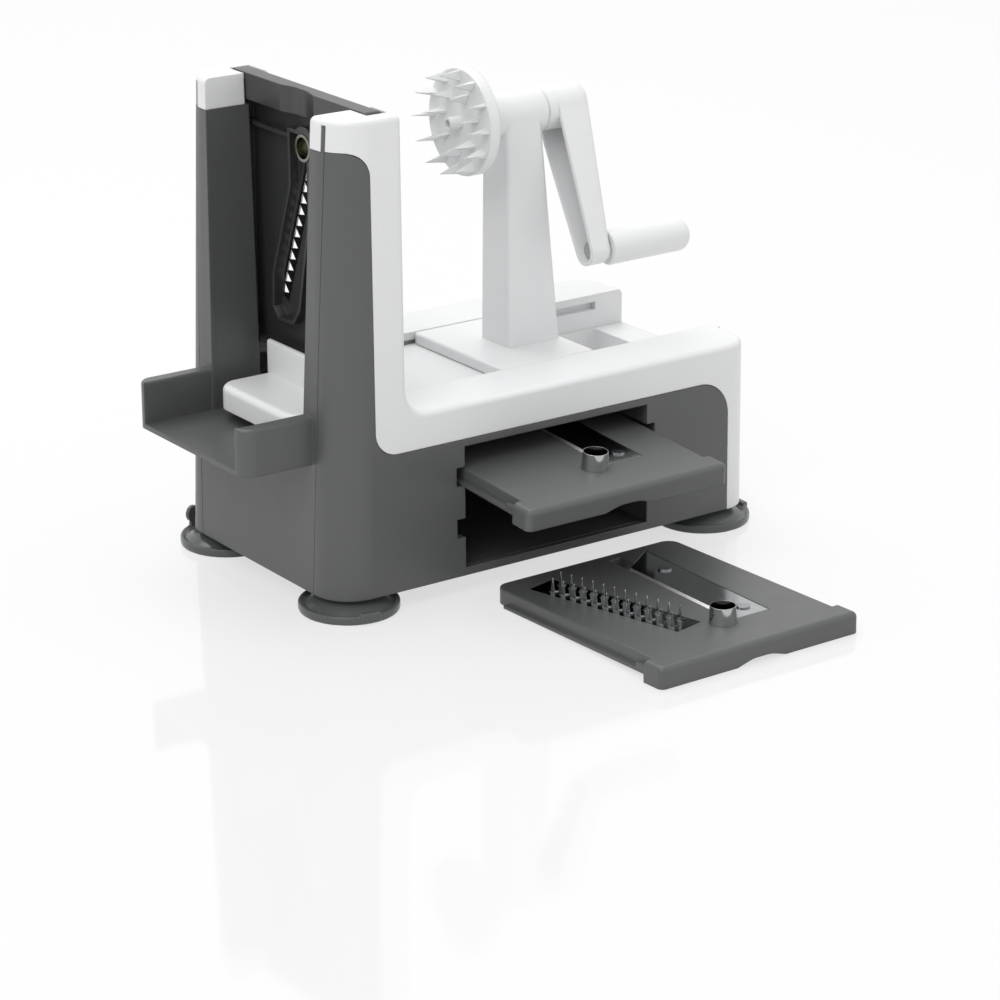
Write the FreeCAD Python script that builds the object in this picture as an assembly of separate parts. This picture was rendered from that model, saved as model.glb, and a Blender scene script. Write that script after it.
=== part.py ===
import FreeCAD
import Part
import math
import os

os.makedirs("parts", exist_ok=True)
Vec = FreeCAD.Vector

# Spiralizer with crank, mm. X runs from the exit tray (-X) to the crank (+X), -Y is the
# side with the plate store, Z is up. Sizes are laid out from the middle of the housing; the saved
# origin is on the table under the middle of the whole set's outline.

# housing
body_length = 252.0
body_width = 145.0
base_height = 9.0          # underside of the housing over the table
deck_height = 96.0
tower_height = 240.0
tower_depth = 41.5         # from the foot of the front wall to the tower's rear face
front_lean = 6.0           # how far the front wall leans back, foot to tower top
side_lean = 3.8
front_round = 19.0
rear_round = 16.5
shell_wall = 2.6
deck_round = 3.0
tower_round = 2.8
nook_round = 12.0          # where the deck sweeps up into the towers
seam_gap = 0.3             # parting line between mouldings
seam_low = 51.0            # the front frame's seams, from the middle, at the table
seam_high = 57.2           # and at the tower top
cap_height = 15.0          # white caps, down from the tower top
cap_slit = 2.4             # grey line up the front of each cap
panel_rear_step = 17.0     # grey side panel, short of the housing's rear
panel_drop = 18.0          # its flat top, below the deck
panel_tower_reach = 23.2   # grey tower side, from the front wall back
panel_round = 12.0
panel_foot_round = 18.0

# gap between the towers
gap_half_low = 41.5        # at deck height
gap_half_high = 46.6       # at the tower top
lining_wall = 2.4

# exit tray
tray_reach = 37.7          # in front of the housing
tray_drop = 20.0           # its floor, below the deck
tray_floor_wall = 2.4
tray_wall_rise = 1.0       # its walls, over the deck
tray_wall = 7.7
tray_half_width = 49.5
tray_round = 7.0

# step block under the working plate
step_near_half = 39.0
step_far_half = 31.0
step_height = 12.3         # of its shelf
step_drop = 1.7            # the shelf, below the deck
step_reach = 29.6          # the shelf, in front of the riser
step_round = 3.5
step_corner = 9.0
riser_wall = 2.6
riser_lap = 4.8            # up the front of the working plate's lower end

# carriage channel
channel_half = 39.0
rail_wall = 5.5
front_floor_drop = 6.0     # from the deck
rear_floor_drop = 18.0
floor_wall = 2.4
floor_step_x = 92.5        # from the towers
groove_drop = 8.0
groove_height = 4.0
groove_depth = 3.6
groove_end = 17.5          # short of the housing's rear
well_length = 40.0         # sunk well in the rear floor
well_end = 19.0            # short of the housing's rear
well_margin = 2.0
well_depth = 15.0
well_side = 1.6

# carriage and post
running_gap = 0.4
carriage_clear = 77.5      # from the towers, as the carriage stands
carriage_length = 57.0
carriage_thickness = 5.6
tongue_short = 4.0
tongue_root = 2.4
post_back = 22.9           # from the carriage's front edge
post_length_low = 32.0
post_length_high = 21.0
post_half_low = 12.4
post_half_high = 11.0
post_corner = 2.5
head_radius = 11.2
head_back = 13.0
head_length = 35.3

# disc and shaft
disc_back = 2.0            # from the carriage's front edge
disc_radius = 26.7
disc_thickness = 5.8
shaft_radius = 5.0
shaft_fit = 0.08
shaft_seat = 1.6           # disc left in front of the shaft's end
spike_length = 12.0
spike_width = 5.6
spike_thickness = 2.0
outer_spikes = 12
outer_spike_circle = 23.0
inner_spikes = 7
inner_spike_circle = 14.0
spigot_radius = 3.3
spigot_bore = 2.0
spigot_length = 7.0

# crank arm and grip
arm_gap = 0.7
hub_radius = 11.0
hub_length = 25.0
hub_round = 5.0
arm_set = 7.6              # the arm's open face, behind the hub's front
arm_drop = 66.8
arm_side = 32.3            # towards -Y
arm_root_radius = 7.8
arm_end_radius = 7.0
arm_end_depth = 10.9
arm_slope_round = 20.0
arm_wall = 2.0
core_wall = 2.2
grip_length = 49.0
grip_radius = 8.6
grip_end_radius = 8.4
grip_round = 5.0
pin_radius = 3.6
pin_fit = 0.08
pin_head = 1.6
pin_end_gap = 4.0

# blade plates, lying flat with the blades up and the flange at v = 0
plate_length = 134.5
plate_height = 10.5
plate_body_height = 8.0
plate_half = 54.5
plate_skin = 2.4
plate_rim = 2.2
plate_corner = 7.0
flange_half = 59.5
flange_depth = 13.0
flange_round = 2.8
flange_corner = 3.2
grip_recess_half = 5.5
grip_recess_height = 2.5
grip_recess_slope = 9.0
grip_recess_round = 20.0
rail_half = 57.0
rail_height = 1.6
rail_stop_length = 9.0
ring_distance = 28.5       # from the flange face
ring_radius = 6.7
ring_top_radius = 6.2
ring_bore = 5.2
ring_edge = 0.35           # wall left at the ground top
ring_grind = 2.5
ring_rise = 8.6
ring_boss = 10.2
back_rib = 3.0             # rib across the back, from the ring towards the flange
blade_width = 22.6
blade_start = 29.0
blade_end = 128.0
blade_skew = 16.0
blade_bevel = 2.4
blade_thickness = 1.0
blade_ledge = 1.2
throat_width = 7.0
comb_thickness = 0.8
comb_seat = 1.2            # frame left under the comb's edge
fence_wall = 1.8           # wall that stands round the comb on the back
screw_radius = 3.3
screw_height = 0.7
screw_inset = 10.0

# store under the deck
store_middle = 2.75
store_drop = 21.5          # its top, below the deck
store_bottom = 13.0
store_fit = 0.5            # either side of a plate
store_level_drop = 41.3    # the upper runner, below the deck
store_notch_height = 9.6
store_pitch = 26.0
store_back_gap = 9.0       # short of the far side wall
store_wall = 1.0
stored_pull = 58.0         # how far the plate stands out of the side
stored_lift = 0.35
stored_tilt = 3.5          # degrees it hangs down outwards

# working plate
plate_slot_gap = 0.35
plate_stand = 0.5          # its flange over the towers

# loose plate on the table
loose_x = 8.7
loose_y = -223.0
loose_turn = 0.8

# suction feet
foot_end = 18.0            # foot's middle from the housing's ends
foot_side = 17.0
foot_radius = 23.9
foot_rim = 1.6
foot_neck = 9.5
foot_cavity = 3.6
tab_width = 9.0
tab_length = 2.2
tab_height = 9.5
stud_radius = 3.0
stud_height = 9.0
cover_wall = 1.8
cover_gap = 0.4            # cover over the shell's rim

# places that follow from the sizes above
rear_x = body_length / 2
tower_rear = -body_length / 2 + tower_depth
lean_height = tower_height - base_height
cap_low = tower_height - cap_height
panel_top = deck_height - panel_drop
tray_floor_top = deck_height - tray_drop
tray_wall_top = deck_height + tray_wall_rise
step_top = deck_height - step_drop
step_underside = step_top - step_height
front_floor_top = deck_height - front_floor_drop
rear_floor_top = deck_height - rear_floor_drop
groove_bottom = deck_height - groove_drop
store_top = deck_height - store_drop
store_level = deck_height - store_level_drop
working_top = tower_height + plate_stand
axis_height = working_top - ring_distance
carriage_front = tower_rear + carriage_clear
post_front = carriage_front + post_back
head_front = carriage_front + head_back
disc_front = carriage_front + disc_back
store_half = plate_half + store_fit
store_notch_half = rail_half + 2.8
foot_x = body_length / 2 - foot_end
foot_y = body_width / 2 - foot_side
big = 400.0


def front_x(z):
    return -body_length / 2 + front_lean * (z - base_height) / lean_height


def side_y(z):
    return body_width / 2 - side_lean * (z - base_height) / lean_height


def gap_half(z):
    rise = (z - deck_height) / (tower_height - deck_height)
    return gap_half_low + (gap_half_high - gap_half_low) * rise


def seam_half(z):
    return seam_low + (seam_high - seam_low) * z / tower_height


def box(x0, x1, y0, y1, z0, z1):
    return Part.makeBox(x1 - x0, y1 - y0, z1 - z0, Vec(x0, y0, z0))


def rod(radius, length, base, axis):
    return Part.makeCylinder(radius, length, base, axis)


def rounded_wire(points, radii):
    # closed outline with an arc of its own radius at each corner
    count = len(points)
    edges = []
    ends = []
    for i in range(count):
        here = points[i]
        back = (points[i - 1] - here).normalize()
        on = (points[(i + 1) % count] - here).normalize()
        if radii[i] <= 0:
            ends.append((here, here))
            continue
        half = back.getAngle(on) / 2
        run = radii[i] / math.tan(half)
        start = here + back * run
        end = here + on * run
        middle = here + (back + on).normalize() * (radii[i] / math.sin(half) - radii[i])
        edges.append(Part.Arc(start, middle, end).toShape())
        ends.append((start, end))
    for i in range(count):
        start = ends[i][1]
        end = ends[(i + 1) % count][0]
        if (end - start).Length > 1e-6:
            edges.append(Part.LineSegment(start, end).toShape())
    return Part.Wire(Part.__sortEdges__(edges))


def prism(points, radii, along):
    return Part.Face(rounded_wire(points, radii)).extrude(along)


def side_prism(outline, radii, y0, y1):
    return prism([Vec(x, y0, z) for x, z in outline], radii, Vec(0, y1 - y0, 0))


def front_prism(outline, radii, x0, x1):
    return prism([Vec(x0, y, z) for y, z in outline], radii, Vec(x1 - x0, 0, 0))


def flat_prism(outline, radii, z0, z1):
    return prism([Vec(x, y, z0) for x, y in outline], radii, Vec(0, 0, z1 - z0))


def loft(wires):
    return Part.makeLoft(wires, True, True)


def polygon(points):
    return Part.makePolygon(points + [points[0]])


def round_edges(shape, radius, chosen):
    edges = [edge for edge in shape.Edges if chosen(edge)]
    return shape.makeFillet(radius, edges) if edges else shape


def upright(edge):
    first = edge.Vertexes[0].Point
    last = edge.Vertexes[-1].Point
    return abs(first.z - last.z) > 0.8 * edge.Length


def mirror_y(shape):
    return shape.mirror(Vec(0, 0, 0), Vec(0, 1, 0))


# outer form

def envelope(z0, z1, inset, front_r, rear_r):
    wires = []
    for z in (z0, z1):
        front = front_x(z) + inset
        side = side_y(z) - inset
        rear = rear_x - inset
        wires.append(polygon([Vec(front, -side, z), Vec(rear, -side, z), Vec(rear, side, z),
                              Vec(front, side, z)]))
    solid = loft(wires)
    solid = round_edges(solid, front_r, lambda e: upright(e) and e.CenterOfMass.x < 0)
    return round_edges(solid, rear_r, lambda e: upright(e) and e.CenterOfMass.x > 0)


def step_profile(z0, inset):
    # deck and towers seen from the side
    deck = deck_height - inset
    tower = tower_rear - inset
    outline = [(-big, z0), (big, z0), (big, deck), (tower, deck), (tower, tower_height - inset),
               (-big, tower_height - inset)]
    return side_prism(outline, [0, 0, 0, nook_round, 0, 0], -big, big)


outer = envelope(base_height, tower_height, 0, front_round, rear_round)
outer = outer.common(step_profile(base_height, 0))
outer = round_edges(outer, tower_round, lambda e: (
    e.BoundBox.ZMin > tower_height - 1 and e.CenterOfMass.x < tower_rear - 1))
outer = round_edges(outer, deck_round, lambda e: (
    e.BoundBox.ZMin > deck_height - 1 and e.BoundBox.XMax > tower_rear + 1
    and abs(e.CenterOfMass.y) > channel_half and e.BoundBox.ZMax < deck_height + nook_round + 1)
    or (e.BoundBox.ZMin > deck_height - 1 and e.BoundBox.ZMax < deck_height + 1
        and e.CenterOfMass.x > rear_x - 1))
inner = envelope(base_height - 1, tower_height - shell_wall, shell_wall,
                 front_round - shell_wall, rear_round - shell_wall)
inner = inner.common(step_profile(base_height - 1, shell_wall))

gap_low = tray_floor_top
gap_outline = [(-gap_half(gap_low), gap_low), (gap_half(gap_low), gap_low),
               (gap_half(tower_height + 5), tower_height + 5),
               (-gap_half(tower_height + 5), tower_height + 5)]
tower_gap = front_prism(gap_outline, [0, 0, 0, 0], -big, tower_rear + 1)
channel = box(tower_rear, big, -channel_half, channel_half, rear_floor_top - floor_wall - 0.1, big)
shell = outer.cut(inner).cut(tower_gap).cut(channel)

# grey side shells

panel_tower_x = -body_length / 2 + panel_tower_reach
panel_rear_x = rear_x - panel_rear_step


def panel_outline(grow):
    # grey region of a side; the white housing is what lies outside it
    top = tower_height - cap_height + grow
    tower = panel_tower_x + grow
    flat = panel_top + grow
    rear = panel_rear_x + grow
    points = [(-big, -big), (rear, -big), (rear, flat), (tower, flat), (tower, top), (-big, top)]
    radii = [0, 0, panel_foot_round, panel_round, panel_round, 0]
    return points, radii


def seam_wedge(shrink):
    # everything between the two seams, which lean outwards as they rise
    low = seam_half(0) - shrink
    high = seam_half(tower_height + 5) - shrink
    points = [(-low, 0), (low, 0), (high, tower_height + 5), (-high, tower_height + 5)]
    return front_prism(points, [0] * 4, -big, big)


def side_region(grow):
    points, radii = panel_outline(grow)
    return side_prism(points, radii, -big, 0).cut(seam_wedge(grow))


near_panel = shell.common(side_region(0))
far_panel = mirror_y(near_panel)


def store_outline(grow):
    left = store_middle - store_half - grow
    right = store_middle + store_half + grow
    far_left = store_middle - store_notch_half - grow
    far_right = store_middle + store_notch_half + grow
    levels = [store_level - store_pitch, store_level]
    up = [(right, store_bottom - grow)]
    for level in levels:
        low = level - grow
        high = level + store_notch_height + grow
        up += [(right, low), (far_right, low), (far_right, high), (right, high)]
    up.append((right, store_top + grow))
    down = [(left, store_top + grow)]
    for level in reversed(levels):
        low = level - grow
        high = level + store_notch_height + grow
        down += [(left, high), (far_left, high), (far_left, low), (left, low)]
    down.append((left, store_bottom - grow))
    return up + down


def store_prism(y0, y1):
    outline = store_outline(0)
    return side_prism(outline, [0] * len(outline), y0, y1)


side_shell_near = near_panel.cut(store_prism(-big, 0))
side_shell_far = far_panel

# white upper housing

front_slab = -body_length / 2 + front_lean + shell_wall + 1
wall_zone = box(-big, front_slab, -big, big, -big, cap_low).common(seam_wedge(0))
slit_zone = box(-big, front_slab, -big, big, cap_low - 1, tower_height - shell_wall)
slit_zone = slit_zone.common(seam_wedge(0)).cut(seam_wedge(cap_slit))
upper = shell.cut(side_region(seam_gap)).cut(mirror_y(side_region(seam_gap)))
upper = upper.cut([wall_zone, slit_zone])
rail = box(tower_rear - shell_wall, rear_x - 0.4, -channel_half - rail_wall, -channel_half,
           rear_floor_top - floor_wall, deck_height - deck_round / 2)
groove = box(tower_rear, rear_x - groove_end, -channel_half - groove_depth, -channel_half + 1,
             groove_bottom, groove_bottom + groove_height)
rail_lip = box(tower_rear, rear_x - 1.0, -channel_half - rail_wall, -channel_half,
               deck_height - deck_round, deck_height)
rail_lip = round_edges(rail_lip, 1.6, lambda e: (
    e.BoundBox.ZMin > deck_height - 0.1 and e.BoundBox.YMin > -channel_half - 0.1))
rail = rail.fuse(rail_lip).cut(groove)
cap_lining_outline = [(-gap_half(cap_low) - lining_wall, cap_low),
                      (-gap_half(cap_low), cap_low),
                      (-gap_half(tower_height - 1), tower_height - 1),
                      (-gap_half(tower_height - 1) - lining_wall, tower_height - 1)]
slot_front = tower_rear - shell_wall - plate_body_height - 2 * plate_slot_gap
flange_front = tower_rear - shell_wall - plate_height - 2 * plate_slot_gap
cap_lining = front_prism(cap_lining_outline, [0, 0, 0, 0], -big, flange_front - 0.2).common(outer)
cap_back = box(flange_front - 1.8, flange_front - 0.2, -side_y(tower_height) + shell_wall,
               -gap_half(tower_height) - 0.2, cap_low + 1, tower_height - shell_wall)
upper = upper.fuse([rail, mirror_y(rail), cap_lining, mirror_y(cap_lining), cap_back,
                    mirror_y(cap_back)])
flange_slot = box(flange_front, tower_rear - shell_wall, -flange_half - plate_slot_gap - 0.6,
                  flange_half + plate_slot_gap + 0.6, cap_low - 2, tower_height + 2)
upper_housing = upper.cut(flange_slot).removeSplitter()

# grey front frame with the exit tray

skin = outer.cut(inner).cut(tower_gap)
front_wall = skin.common(box(-big, tower_rear - 30, -big, big, base_height, cap_low - seam_gap))
front_wall = front_wall.common(seam_wedge(seam_gap))
slit_line = skin.common(box(-big, tower_rear - 30, -big, big, cap_low - seam_gap - 0.5,
                            tower_height - shell_wall - 0.2))
slit_line = slit_line.common(seam_wedge(seam_gap)).cut(seam_wedge(cap_slit - seam_gap))
lining_outline = [(-gap_half(gap_low) - lining_wall, gap_low - tray_floor_wall),
                  (-gap_half(gap_low), gap_low - tray_floor_wall),
                  (-gap_half(cap_low), cap_low - 0.2),
                  (-gap_half(cap_low) - lining_wall, cap_low - 0.2)]
lining = front_prism(lining_outline, [0, 0, 0, 0], front_x(gap_low), slot_front - 0.4)
lining = lining.common(outer)
tray_front = front_x(tray_floor_top) - tray_reach
tray_outline = [(tray_front, -tray_half_width), (front_x(deck_height) + 1, -tray_half_width),
                (front_x(deck_height) + 1, tray_half_width), (tray_front, tray_half_width)]
tray = flat_prism(tray_outline, [tray_round, 0, 0, tray_round],
                  tray_floor_top - tray_floor_wall, tray_wall_top)
tray_hollow = box(-big, big, tray_wall - tray_half_width, tray_half_width - tray_wall,
                  tray_floor_top, big)
tray = tray.cut(tray_hollow)
tray = round_edges(tray, 1.5, lambda e: (
    e.BoundBox.ZMin > tray_wall_top - 0.1 and e.CenterOfMass.x < front_x(deck_height) - 1))
inner_floor = box(front_x(tray_floor_top), tower_rear - 0.4, -gap_half(gap_low) - 1,
                  gap_half(gap_low) + 1, tray_floor_top - tray_floor_wall, tray_floor_top)
front_frame = front_wall.fuse([slit_line, lining, mirror_y(lining), tray, inner_floor])
front_frame = front_frame.removeSplitter()

# guides that hold the working plate inside the towers

guide_outer = rail_half + plate_slot_gap
guide_bottom = working_top - plate_length - 0.4
guide_top = cap_low - 0.4
guide = box(slot_front - 2, tower_rear - shell_wall - 0.1, -guide_outer - 2,
            -gap_half(guide_bottom) - lining_wall - 0.1, guide_bottom - 6, guide_top)
guide_hollow = box(slot_front, big, -guide_outer, 0, guide_bottom, big)
guide = guide.cut(guide_hollow)
lean_clear = [(0, guide_bottom - 7), (0, guide_top + 1),
              (-gap_half(guide_top + 1) - lining_wall - 0.1, guide_top + 1),
              (-gap_half(guide_bottom - 7) - lining_wall - 0.1, guide_bottom - 7)]
guide = guide.cut(front_prism(lean_clear, [0, 0, 0, 0], -big, big))
plate_guide_near = guide
plate_guide_far = mirror_y(guide)

# step block below the working plate

plate_rest = working_top - plate_length - 0.3
riser_front = slot_front - riser_wall
riser_top = plate_rest + riser_lap
step_front = riser_front - step_reach
under_rear = tower_rear - 0.4
block_outline = [(step_front, step_underside), (riser_front, step_underside),
                 (riser_front, tray_floor_top), (under_rear, tray_floor_top),
                 (under_rear, plate_rest), (slot_front, plate_rest), (slot_front, riser_top),
                 (riser_front, riser_top), (riser_front, step_top), (step_front, step_top)]
block_radii = [0, 0, 0, 0, 1.0, 0, 0.6, 1.4, 0, 0]
step_block = side_prism(block_outline, block_radii, -step_near_half, step_far_half)
step_block = round_edges(step_block, step_corner, lambda e: (
    upright(e) and e.CenterOfMass.x < step_front + 1))
step_block = round_edges(step_block, step_round, lambda e: (
    e.BoundBox.ZMin > step_top - 0.1 and e.BoundBox.ZMax < step_top + 0.1
    and e.CenterOfMass.x < riser_front - 1))

# floor of the carriage channel

step_x = tower_rear + floor_step_x
floor_outline = [(tower_rear, front_floor_top - floor_wall),
                 (step_x - floor_wall, front_floor_top - floor_wall),
                 (step_x - floor_wall, rear_floor_top - floor_wall),
                 (rear_x, rear_floor_top - floor_wall), (rear_x, rear_floor_top),
                 (step_x, rear_floor_top), (step_x, front_floor_top),
                 (tower_rear, front_floor_top)]
channel_floor = side_prism(floor_outline, [0, 0, 0, 0, 0, 1.0, 1.0, 0], -channel_half + 0.1,
                           channel_half - 0.1)
well_rear = rear_x - well_end
well_front = well_rear - well_length
well_half = channel_half - well_margin


def well_block(grow, z0, z1):
    return flat_prism([(well_front - grow, -well_half - grow), (well_rear + grow, -well_half - grow),
                       (well_rear + grow, well_half + grow), (well_front - grow, well_half + grow)],
                      [2.0 + grow] * 4, z0, z1)


well_bottom = rear_floor_top - well_depth
channel_floor = channel_floor.fuse(well_block(well_side, well_bottom - well_side, rear_floor_top - 1))
channel_floor = channel_floor.cut(well_block(0, well_bottom, rear_floor_top + 1)).removeSplitter()

# plate store under the deck

store_front = -side_y(store_top) + shell_wall + 0.2
store_rear = side_y(store_top) - shell_wall - store_back_gap
store_case = box(store_middle - store_notch_half - 2, store_middle + store_notch_half + 2,
                 store_front, store_rear, store_bottom - store_wall, store_top + store_wall)
plate_store = store_case.cut(store_prism(store_front - 1, store_rear - store_wall))

# bottom cover

cover = envelope(base_height + cover_gap, base_height + cover_gap + cover_wall, shell_wall + 0.2,
                 front_round - shell_wall, rear_round - shell_wall)
bosses = []
for x in (-foot_x, foot_x):
    for y in (-foot_y, foot_y):
        cover = cover.cut(rod(stud_radius + 0.2, 40, Vec(x, y, 0), Vec(0, 0, 1)))
        boss = rod(stud_radius + 3, stud_height - cover_wall, Vec(x, y, base_height + cover_gap + cover_wall),
                   Vec(0, 0, 1))
        bosses.append(boss.cut(rod(stud_radius + 0.2, 40, Vec(x, y, 0), Vec(0, 0, 1))))
bottom_cover = cover.fuse(bosses).removeSplitter()

# suction feet

cup_top = base_height + cover_gap
cup_points = [Vec(0, 0, foot_cavity), Vec(0, 0, cup_top), Vec(foot_neck, 0, cup_top),
              Vec(foot_neck + 3, 0, cup_top - 2.2), Vec(foot_radius - 1.5, 0, foot_rim + 1.4),
              Vec(foot_radius, 0, foot_rim), Vec(foot_radius, 0, 0),
              Vec(foot_radius - 2.6, 0, 0), Vec(foot_neck, 0, foot_cavity - 0.6)]
cup = Part.Face(polygon(cup_points)).revolve(Vec(0, 0, 0), Vec(0, 0, 1), 360)


def foot(x, y, turn):
    # cup with an upright ear, pulled to let the air in
    reach = foot_radius + tab_length
    ear = front_prism([(-tab_width / 2, 0.6), (tab_width / 2, 0.6), (tab_width / 2, tab_height),
                       (-tab_width / 2, tab_height)], [0, 0, 3.5, 3.5], reach - 1.8, reach)
    tab = box(foot_radius - 2, reach, -tab_width / 2, tab_width / 2, 0.6, foot_rim)
    whole = cup.fuse([tab, ear])
    whole.rotate(Vec(0, 0, 0), Vec(0, 0, 1), turn)
    whole.translate(Vec(x, y, 0))
    return whole.removeSplitter()


suction_feet = {"suction_foot_front_near": foot(-foot_x, -foot_y, -98),
                "suction_foot_front_far": foot(-foot_x, foot_y, 115),
                "suction_foot_rear_near": foot(foot_x, -foot_y, -8),
                "suction_foot_rear_far": foot(foot_x, foot_y, 60)}
studs = [rod(stud_radius, stud_height - 1, Vec(x, y, cup_top), Vec(0, 0, 1))
         for x in (-foot_x, foot_x) for y in (-foot_y, foot_y)]
foot_studs = Part.Compound(studs)

# carriage with the post

plate_half_y = channel_half - running_gap
carriage_top = deck_height
carriage_low = carriage_top - carriage_thickness
carriage_rear = carriage_front + carriage_length
sled = flat_prism([(carriage_front, -plate_half_y), (carriage_rear, -plate_half_y),
                   (carriage_rear, plate_half_y), (carriage_front, plate_half_y)],
                  [2.5] * 4, carriage_low, carriage_top)
sled = round_edges(sled, 1.4, lambda e: e.BoundBox.ZMin > carriage_top - 0.1)
tongue_half = channel_half + groove_depth - running_gap
tongue_top = groove_bottom + groove_height - running_gap
tongue = box(carriage_front + tongue_short, carriage_rear - tongue_short, -tongue_half,
             -channel_half + tongue_root, carriage_low, tongue_top)


def post_section(z, length, half):
    return polygon([Vec(post_front, -half, z), Vec(post_front + length, -half, z),
                    Vec(post_front + length, half, z), Vec(post_front, half, z)])


post = loft([post_section(carriage_top - 1, post_length_low, post_half_low),
             post_section(axis_height, post_length_high, post_half_high)])
post = round_edges(post, post_corner, upright)
head = rod(head_radius, head_length, Vec(head_front, 0, axis_height), Vec(1, 0, 0))
bore = rod(shaft_radius + shaft_fit, head_length + 2, Vec(head_front - 1, 0, axis_height),
           Vec(1, 0, 0))
carriage = sled.fuse([tongue, mirror_y(tongue), post, head]).cut(bore).removeSplitter()

# spiked disc

disc_rear = disc_front + disc_thickness
disc = rod(disc_radius, disc_thickness, Vec(disc_front, 0, axis_height), Vec(1, 0, 0))
disc = round_edges(disc, 0.8, lambda e: e.BoundBox.XMax < disc_front + 0.1)
disc_hub = rod(hub_radius - 2, head_front - running_gap - disc_rear,
               Vec(disc_rear, 0, axis_height), Vec(1, 0, 0))
spigot = rod(spigot_radius, spigot_length + 1, Vec(disc_front - spigot_length, 0, axis_height),
             Vec(1, 0, 0))


def spike(circle, turn):
    root_x = disc_front + 0.5
    root = polygon([Vec(root_x, -spike_thickness / 2, circle - spike_width / 2),
                    Vec(root_x, spike_thickness / 2, circle - spike_width / 2),
                    Vec(root_x, spike_thickness / 2, circle + spike_width / 2),
                    Vec(root_x, -spike_thickness / 2, circle + spike_width / 2)])
    tip = Vec(disc_front - spike_length, 0, circle + spike_width / 4)
    faces = [Part.Face(root)]
    corners = [vertex.Point for vertex in root.Vertexes]
    for i in range(4):
        faces.append(Part.Face(polygon([corners[i], corners[(i + 1) % 4], tip])))
    solid = Part.Solid(Part.Shell(faces))
    if solid.Volume < 0:
        solid.reverse()
    solid.rotate(Vec(0, 0, 0), Vec(1, 0, 0), turn)
    solid.translate(Vec(0, 0, axis_height))
    return solid


spikes = [spike(outer_spike_circle, 360.0 * i / outer_spikes) for i in range(outer_spikes)]
spikes += [spike(inner_spike_circle, 360.0 * (i + 0.5) / inner_spikes) for i in range(inner_spikes)]
shaft_start = disc_front + shaft_seat
hub_socket = rod(shaft_radius, 40, Vec(shaft_start, 0, axis_height), Vec(1, 0, 0))
spike_disc = disc.fuse([disc_hub, spigot] + spikes).cut(
    [hub_socket, rod(spigot_bore, spigot_length, Vec(disc_front - spigot_length, 0, axis_height),
                     Vec(1, 0, 0))]).removeSplitter()

# shaft, crank arm and fasteners

hub_start = head_front + head_length + arm_gap
hub_end = hub_start + hub_length
shaft_end = hub_end - 4.0
arm_face = hub_start + arm_set
crank_shaft = rod(shaft_radius, shaft_end - shaft_start, Vec(shaft_start, 0, axis_height),
                  Vec(1, 0, 0))
pin_y = -arm_side
pin_z = axis_height - arm_drop


def arm_wire(x, shrink):
    # two circles joined by their outer tangents
    r1 = arm_root_radius - shrink
    r2 = arm_end_radius - shrink
    span = math.hypot(arm_side, arm_drop)
    down = Vec(0, -arm_side / span, -arm_drop / span)
    across = Vec(0, down.z, -down.y)
    lean = (r1 - r2) / span
    normal_up = across * math.sqrt(1 - lean * lean) + down * lean
    normal_low = across * -math.sqrt(1 - lean * lean) + down * lean
    top = Vec(x, 0, axis_height)
    low = Vec(x, pin_y, pin_z)
    a, b = top + normal_up * r1, top + normal_low * r1
    c, d = low + normal_low * r2, low + normal_up * r2
    return Part.Wire([Part.Arc(a, top - down * r1, b).toShape(),
                      Part.LineSegment(b, c).toShape(),
                      Part.Arc(c, low + down * r2, d).toShape(),
                      Part.LineSegment(d, a).toShape()])


def arm_back(inset):
    # keeps what lies behind the sloping +X face of the arm
    end = arm_face + arm_end_depth - inset
    full = hub_end - inset
    front = hub_start - 1
    outline = [(front, -big), (end, -big), (end, pin_z + arm_end_radius),
               (full, axis_height - hub_radius), (full, big), (front, big)]
    return side_prism(outline, [0, 0, arm_slope_round, arm_slope_round, 0, 0], -big, big)


hub = rod(hub_radius, hub_length, Vec(hub_start, 0, axis_height), Vec(1, 0, 0))
hub = round_edges(hub, hub_round, lambda e: e.BoundBox.XMin > hub_end - 0.1)
strip = Part.Face(arm_wire(arm_face, 0)).extrude(Vec(hub_length - arm_set, 0, 0))
arm = strip.common(arm_back(0)).fuse(hub)
arm_hollow = Part.Face(arm_wire(hub_start - 1, arm_wall)).extrude(Vec(hub_length, 0, 0))
arm_hollow = arm_hollow.common(arm_back(arm_wall))
arm_hollow = arm_hollow.cut(rod(shaft_radius + core_wall, hub_length + 2,
                                Vec(hub_start - 1, 0, axis_height), Vec(1, 0, 0)))
pin_core = rod(pin_radius + arm_wall, arm_end_depth - 4, Vec(arm_face + 3, pin_y, pin_z), Vec(1, 0, 0))
shaft_hole = rod(shaft_radius, shaft_end - hub_start + 1, Vec(hub_start - 1, 0, axis_height),
                 Vec(1, 0, 0))
pin_hole = rod(pin_radius, hub_length, Vec(hub_start - 1, pin_y, pin_z), Vec(1, 0, 0))
crank_arm = arm.cut(arm_hollow).fuse(pin_core).cut([shaft_hole, pin_hole]).removeSplitter()

arm_end_face = arm_face + arm_end_depth
grip_start = arm_end_face + running_gap
grip_end = grip_start + grip_length
pin_start = arm_face + 1.4
pin_end = grip_end - pin_end_gap - 1.0
handle_pin = rod(pin_radius, pin_end - pin_start, Vec(pin_start, pin_y, pin_z), Vec(1, 0, 0))
handle_pin = handle_pin.fuse(rod(pin_radius + 1.2, pin_head, Vec(pin_start, pin_y, pin_z),
                                 Vec(1, 0, 0))).removeSplitter()

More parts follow.
